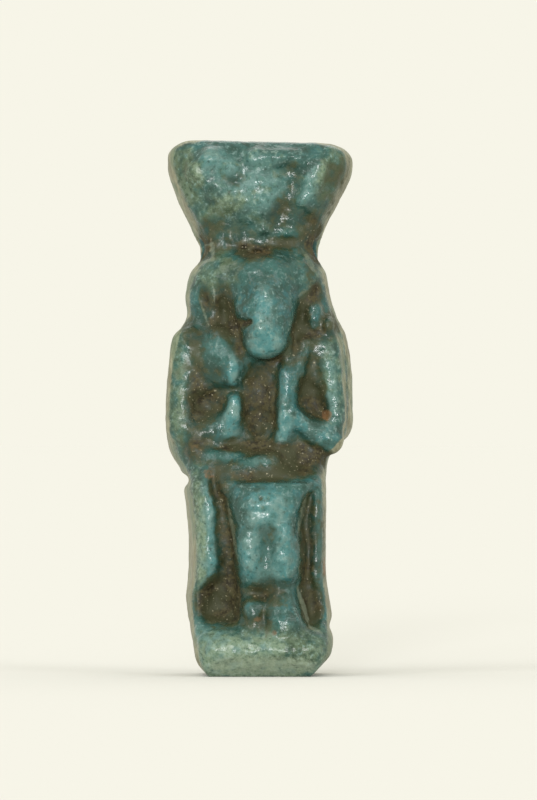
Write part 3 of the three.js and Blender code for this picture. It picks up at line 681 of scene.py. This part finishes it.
RIMS = [
    ((2.88, 23.1), (0.16, 1.0), 0.65, 0.52),
    ((2.75, 21.65), (0.16, 0.9), 0.55, -0.69),
    ((1.8, 19.7), (0.12, 1.1), 0.45, -0.28),
    ((-2.55, 23.75), (0.16, 0.6), 0.7, 0.0),
    ((-2.9, 23.15), (0.5, 0.12), 0.8, 0.2),
    ((-2.5, 21.3), (0.08, 0.65), 0.7, 0.1),
    ((-3.1, 20.4), (0.1, 1.2), 0.6, 0.32),
    ((-1.4, 8.0), (0.12, 2.2), 0.6, 0.17),
    ((2.45, 9.2), (0.14, 1.2), 0.6, -0.22),
    ((2.25, 6.4), (0.12, 1.8), 0.5, 0.0),
    ((2.5, 3.9), (0.14, 1.1), 0.8, 0.3),
    ((-2.2, 3.0), (1.2, 0.15), 0.4, 0.0),
    ((3.2, 2.6), (0.5, 0.12), 0.7, -0.4),
    ((-3.35, 6.8), (0.16, 3.6), 0.5, 0.0),
    ((-2.85, 24.1), (0.3, 0.1), 0.7, 0.3),
]


def marks(points, listed):
    total = np.zeros(len(points))
    for at, half, strength, turn in listed:
        x, z = points[:, 0] - at[0], points[:, 2] - at[1]
        cos, sin = np.cos(turn), np.sin(turn)
        apart = np.hypot((cos * x + sin * z) / half[0], (cos * z - sin * x) / half[1])
        total += strength * np.clip(1.5 - apart, 0, 1)**2 * (3 - 2 * np.clip(1.5 - apart, 0, 1))
    heights, fronts = zip(*[(level[0], level[4]) for level in TRUNK])
    return total * np.clip(2.5 - np.interp(points[:, 2], heights, fronts) + points[:, 1], 0, 1)


def outer(points):
    """How near each point is to the figure's left and right outline, and whether it lies right on it."""
    table = np.array(TRUNK, float)
    left, right = (np.interp(points[:, 2], table[:, 0], table[:, k]) for k in (1, 2))
    across = np.abs(2 * points[:, 0] - left - right) / (right - left)
    start = 0.55 + 0.06 * np.clip(points[:, 1] - 2, 0, 4)
    return np.clip((across - start) / 0.15, 0, 1), np.clip((across - 0.93) / 0.05, 0, 1)


def relief(points):
    """How far each point stands above or below the general surface around it, in millimetres."""
    return ((points - melted(points, passes=120)) * normals).sum(axis=1)


sheltered = shelter(points)
raised = relief(points)
listed_marks = (EARTH_AND_SHADE, GREEN, RUST, LIGHT_GLAZE_AND_HIGHLIGHTS, RIMS)
earth_and_shade, green, rust, light_glaze_and_highlights, rims = (marks(points, listed) for listed in listed_marks)

facing = np.clip(1.6 * np.abs(normals[:, 1]) - 0.2, 0.25, 1)
worn = facing * (0.085 * lumps(points, 0.8, 3) + 0.06 * lumps(points, 0.4, 5) + 0.04 * lumps(points, 0.27, 8))
fade = np.clip(points[:, 2] / 0.5, 0, 1) * np.clip(points[:, 1] / 0.3, 0, 1)
points = points + normals * (worn * fade)[:, None]


def place(points):
    """From the carver's coordinates to the frame's, in metres, with the crown's top edge sloping."""
    t = np.clip((points[:, 2] - 25) / (HEIGHT - 25), 0, 1)
    slope = CROWN_SLOPE * (points[:, 0] + 5) * t * t * (3 - 2 * t)
    return np.stack([points[:, 0], HALF_DEPTH - points[:, 1], points[:, 2] - slope], axis=1) * MM


# depth runs against the frame's y, which mirrors the figure, so each face is turned round to point out
mesh = bpy.data.meshes.new("figure")
mesh.from_pydata(place(points).tolist(), [], faces[:, ::-1].tolist())
mesh.validate()
mesh.shade_smooth()
figure = bpy.data.objects.new("figure", mesh)
bpy.context.collection.objects.link(figure)

def keep(name, *columns):
    """Four columns of values at the points, kept as a colour attribute."""
    values = np.stack(columns, axis=1).astype(np.float32)
    mesh.color_attributes.new(name, "FLOAT_COLOR", "POINT").data.foreach_set("color", values.ravel())


behind = np.clip(-1.5 * normals[:, 1] - 0.4, 0, 1)
patchy = lumps(points, 2.2, 12) + 0.6 * lumps(points, 1.0, 13)
earth_and_shade += behind * np.clip(1.1 * patchy - 0.1, 0, 1)
green += behind * np.clip(0.5 - 1.2 * patchy, 0, 1)
light_glaze_and_highlights += behind * np.clip(0.3 + lumps(points, 1.5, 14), 0, 1)
# Earth and pooled glaze in the hollows, plus painted shade where the forms shelter a point and painted light on
# edges and raised forms.
buried_and_shaded = np.clip(0.75 * earth_and_shade + 0.8 * (sheltered - 0.3) - 0.2 * edge(points) - 1.2 * raised, -1, 2)
buried_and_shaded = spread(buried_and_shaded[:, None], 0.5, passes=14)[:, 0]
near, outermost = outer(points)
side = np.maximum(np.clip(1.15 - 1.5 * normals[:, 1], 0, 1) * near, outermost)
keep("masks", buried_and_shaded, side, np.clip(green, 0, 1), np.clip(rust, 0, 1))
# lighter glaze and painted highlights, plus painted light on raised forms
keep("tints", np.clip(light_glaze_and_highlights + 1.5 * raised, 0, 1), np.clip(rims, 0, 1), side, np.ones(len(points)))


class Shading:
    """Short names for the material's nodes."""

    def __init__(self, material):
        self.nodes, self.links = material.node_tree.nodes, material.node_tree.links

    def feed(self, socket, value):
        if isinstance(value, bpy.types.NodeSocket):
            self.links.new(value, socket)
        else:
            socket.default_value = value

    def attribute(self, name):
        node = self.nodes.new("ShaderNodeVertexColor")
        node.layer_name = name
        return node

    def parts(self, node):
        split = self.nodes.new("ShaderNodeSeparateColor")
        self.links.new(node.outputs["Color"], split.inputs[0])
        return split.outputs

    def math(self, kind, *values, clamp=False):
        node = self.nodes.new("ShaderNodeMath")
        node.operation, node.use_clamp = kind, clamp
        for socket, value in zip(node.inputs, values):
            self.feed(socket, value)
        return node.outputs[0]

    def ramp(self, value, low, high):
        """Zero up to low and one from high on."""
        node = self.nodes.new("ShaderNodeMapRange")
        node.interpolation_type = "SMOOTHSTEP"
        self.feed(node.inputs["Value"], value)
        node.inputs["From Min"].default_value = low
        node.inputs["From Max"].default_value = high
        return node.outputs["Result"]

    def mix(self, share, a, b):
        node = self.nodes.new("ShaderNodeMix")
        node.data_type = "RGBA"
        for name, value in (("Factor_Float", share), ("A_Color", a), ("B_Color", b)):
            socket = next(s for s in node.inputs if s.identifier == name)
            self.feed(socket, (*value, 1) if isinstance(value, tuple) else value)
        return next(s for s in node.outputs if s.identifier == "Result_Color")

    def noise(self, size_mm, detail=2.0, stretch=(1, 1, 1), rough=0.5):
        """Noise with lumps of about the given size."""
        place = self.nodes.new("ShaderNodeTexCoord").outputs["Object"]
        scale = self.nodes.new("ShaderNodeVectorMath")
        scale.operation = "MULTIPLY"
        self.links.new(place, scale.inputs[0])
        scale.inputs[1].default_value = [1000 / size_mm / part for part in stretch]
        node = self.nodes.new("ShaderNodeTexNoise")
        self.links.new(scale.outputs[0], node.inputs["Vector"])
        node.inputs["Scale"].default_value = 1
        node.inputs["Detail"].default_value = detail
        node.inputs["Roughness"].default_value = rough
        return node.outputs["Fac"]


def faience():
    material = bpy.data.materials.new("faience_glaze")
    material.use_nodes = True
    s = Shading(material)
    shader = s.nodes["Principled BSDF"]
    masks, tints = s.attribute("masks"), s.attribute("tints")
    (earth_and_shade, side, green), rust = s.parts(masks), masks.outputs["Alpha"]
    light_glaze_and_highlights, rims, _ = s.parts(tints)
    broad, middle, fine, grain = s.noise(1.6, 3), s.noise(0.6, 3), s.noise(0.28, 4, rough=0.7), s.noise(0.13, 2)
    grainy = s.math("ADD", fine, s.math("MULTIPLY", grain, 0.35))
    # the glaze
    glaze = s.mix(s.ramp(broad, 0.38, 0.62), (0.02, 0.052, 0.04), (0.028, 0.092, 0.08))
    glaze = s.mix(s.ramp(middle, 0.45, 0.7), glaze, (0.018, 0.09, 0.095))
    # lighter glaze with painted highlights on raised forms
    lit = s.mix(s.ramp(middle, 0.35, 0.65), (0.11, 0.2, 0.18), (0.045, 0.155, 0.155))
    brightness = s.math("ADD", light_glaze_and_highlights, s.math("MULTIPLY", s.math("SUBTRACT", middle, 0.5), 1.3))
    glaze = s.mix(s.ramp(brightness, 0.1, 1.0), glaze, lit)
    dark_green = s.mix(s.ramp(fine, 0.3, 0.7), (0.045, 0.068, 0.032), (0.11, 0.155, 0.09))
    pale_green = s.mix(s.ramp(fine, 0.3, 0.7), (0.095, 0.145, 0.085), (0.2, 0.25, 0.16))
    # pale green where the painted highlights fall
    greens = s.mix(s.math("MULTIPLY", s.ramp(green, 0.5, 1.0), s.ramp(brightness, 0.1, 0.8)), dark_green, pale_green)
    greenness = s.math("ADD", green, s.math("MULTIPLY", s.math("SUBTRACT", middle, 0.5), 2.4))
    glaze = s.mix(s.math("MULTIPLY", s.ramp(greenness, 0.2, 1.1), 0.85), glaze, greens)
    glaze = s.mix(s.math("MULTIPLY", s.ramp(grainy, 0.7, 0.88), 0.55), glaze, (0.17, 0.27, 0.25))
    glaze = s.mix(s.math("MULTIPLY", s.ramp(grainy, 0.64, 0.44), 0.65), glaze, (0.014, 0.034, 0.022))
    # thin glaze on the edges
    rim = s.ramp(s.math("SUBTRACT", s.math("MULTIPLY", s.math("SUBTRACT", fine, 0.5), 0.8), earth_and_shade), 0.35, 0.8)
    colour = s.mix(s.math("MULTIPLY", rim, 0.5), glaze, (0.25, 0.29, 0.21))
    # the worn sides
    streaks, patches = s.noise(0.2, 4, stretch=(1, 1, 3), rough=0.7), s.noise(3.0, 3, rough=0.6)
    worn = s.mix(s.ramp(streaks, 0.3, 0.6), (0.13, 0.125, 0.07), (0.34, 0.335, 0.225))
    worn = s.mix(s.math("MULTIPLY", s.ramp(patches, 0.47, 0.6), 0.6), worn, (0.085, 0.14, 0.085))
    worn = s.mix(s.math("MULTIPLY", s.ramp(patches, 0.5, 0.38), 0.5), worn, (0.13, 0.11, 0.055))
    sideness = s.math("ADD", side, s.math("MULTIPLY", s.math("SUBTRACT", fine, 0.5), 0.9))
    sided = s.ramp(sideness, 0.35, 0.85)
    colour = s.mix(s.math("MULTIPLY", sided, 0.85), colour, worn)
    # pooled glaze, earth and painted shade in the hollows
    earthen_and_shaded = s.math("ADD", earth_and_shade, s.math("MULTIPLY", s.math("SUBTRACT", middle, 0.5), 1.3))
    earthen_and_shaded = s.math("ADD", earthen_and_shaded, s.math("MULTIPLY", s.math("SUBTRACT", fine, 0.5), 1.1))
    pooled_glaze_and_shade = s.mix(s.ramp(middle, 0.4, 0.6), (0.015, 0.038, 0.026), (0.035, 0.045, 0.018))
    colour = s.mix(s.math("MULTIPLY", s.ramp(earthen_and_shaded, 0.0, 0.65), 0.9), colour, pooled_glaze_and_shade)
    soil = s.mix(s.ramp(fine, 0.38, 0.62), (0.014, 0.01, 0.002), (0.055, 0.046, 0.016))
    soil = s.mix(s.ramp(broad, 0.42, 0.6), soil, (0.034, 0.036, 0.013))
    soil = s.mix(s.ramp(grain, 0.64, 0.76), soil, (0.3, 0.27, 0.18))
    buried_and_shaded = s.ramp(earthen_and_shaded, 0.4, 1.3)
    colour = s.mix(s.math("MULTIPLY", buried_and_shaded, 0.95), colour, soil)
    rimmed = s.ramp(s.math("ADD", rims, s.math("MULTIPLY", s.math("SUBTRACT", fine, 0.5), 0.9)), 0.3, 0.9)
    colour = s.mix(s.math("MULTIPLY", rimmed, 0.45), colour, (0.22, 0.26, 0.19))
    rusty = s.ramp(s.math("ADD", rust, s.math("MULTIPLY", s.math("SUBTRACT", fine, 0.5), 1.2)), 0.4, 1.1)
    colour = s.mix(s.math("MULTIPLY", rusty, 0.7), colour, (0.17, 0.085, 0.035))
    s.links.new(colour, shader.inputs["Base Color"])
    rough = s.math("ADD", 0.16, s.math("MULTIPLY", buried_and_shaded, 0.5))
    rough = s.math("ADD", rough, s.math("MULTIPLY", sided, 0.35))
    rough = s.math("ADD", rough, s.math("MULTIPLY", s.ramp(greenness, 0.3, 1.3), 0.14))
    rough = s.math("ADD", rough, s.math("MULTIPLY", s.math("SUBTRACT", fine, 0.5), 0.3), clamp=True)
    s.links.new(rough, shader.inputs["Roughness"])
    shader.inputs["IOR"].default_value = 1.4
    height = s.math("ADD", s.math("MULTIPLY", fine, 0.5), s.math("MULTIPLY", grain, 0.5))
    bump = s.nodes.new("ShaderNodeBump")
    bump.inputs["Strength"].default_value = 1.0
    bump.inputs["Distance"].default_value = 0.00004
    s.links.new(height, bump.inputs["Height"])
    s.links.new(bump.outputs["Normal"], shader.inputs["Normal"])
    return material


mesh.materials.append(faience())

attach(figure, "root")
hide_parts(NODE)


# Floor and light
PAPER = (0.93, 0.913, 0.807)
FLOOR_RADIUS = 3.0
# Each soft sun: azimuth (0 from the camera, 90 from the viewer's right), elevation, breadth and strength.
SUNS = {
    "front": (-8, 14, 26, 0.65),
    "lamp": (-4, 9, 6, 1.3),
    "upper_left": (-38, 38, 30, 0.6),
    "upper_right": (40, 30, 24, 0.4),
    "behind": (170, 40, 40, 0.3),
}


def paper_floor():
    """A floor that looks just as bright as the sky beyond it."""
    bpy.ops.mesh.primitive_circle_add(vertices=96, radius=FLOOR_RADIUS, fill_type="TRIFAN")
    floor = bpy.context.active_object
    floor.name = "paper_floor"
    from_suns = sum(strength * np.sin(np.radians(up)) for _, up, _, strength in SUNS.values()) / np.pi
    paper = bpy.data.materials.new("cream_paper")
    paper.use_nodes = True
    shader = paper.node_tree.nodes["Principled BSDF"]
    shader.inputs["Base Color"].default_value = (*[sky / (sky + from_suns) for sky in PAPER], 1)
    shader.inputs["Roughness"].default_value = 1.0
    shader.inputs["Specular IOR Level"].default_value = 0.0
    floor.data.materials.append(paper)


def soft_sun(name, azimuth, elevation, breadth, strength):
    data = bpy.data.lights.new(name, "SUN")
    data.angle = np.radians(breadth)
    data.energy = strength
    lamp = bpy.data.objects.new(name, data)
    bpy.context.collection.objects.link(lamp)
    around, up = np.radians(azimuth), np.radians(elevation)
    toward = Vector((np.sin(around) * np.cos(up), -np.cos(around) * np.cos(up), np.sin(up)))
    lamp.rotation_euler = toward.to_track_quat("Z", "Y").to_euler()


paper_floor()
for name, sun in SUNS.items():
    soft_sun(name, *sun)

world = bpy.data.worlds.new("studio")
bpy.context.scene.world = world
world.use_nodes = True
world.node_tree.nodes["Background"].inputs["Color"].default_value = (*PAPER, 1)
world.node_tree.nodes["Background"].inputs["Strength"].default_value = 1.0
bpy.context.scene.view_settings.view_transform = "Standard"
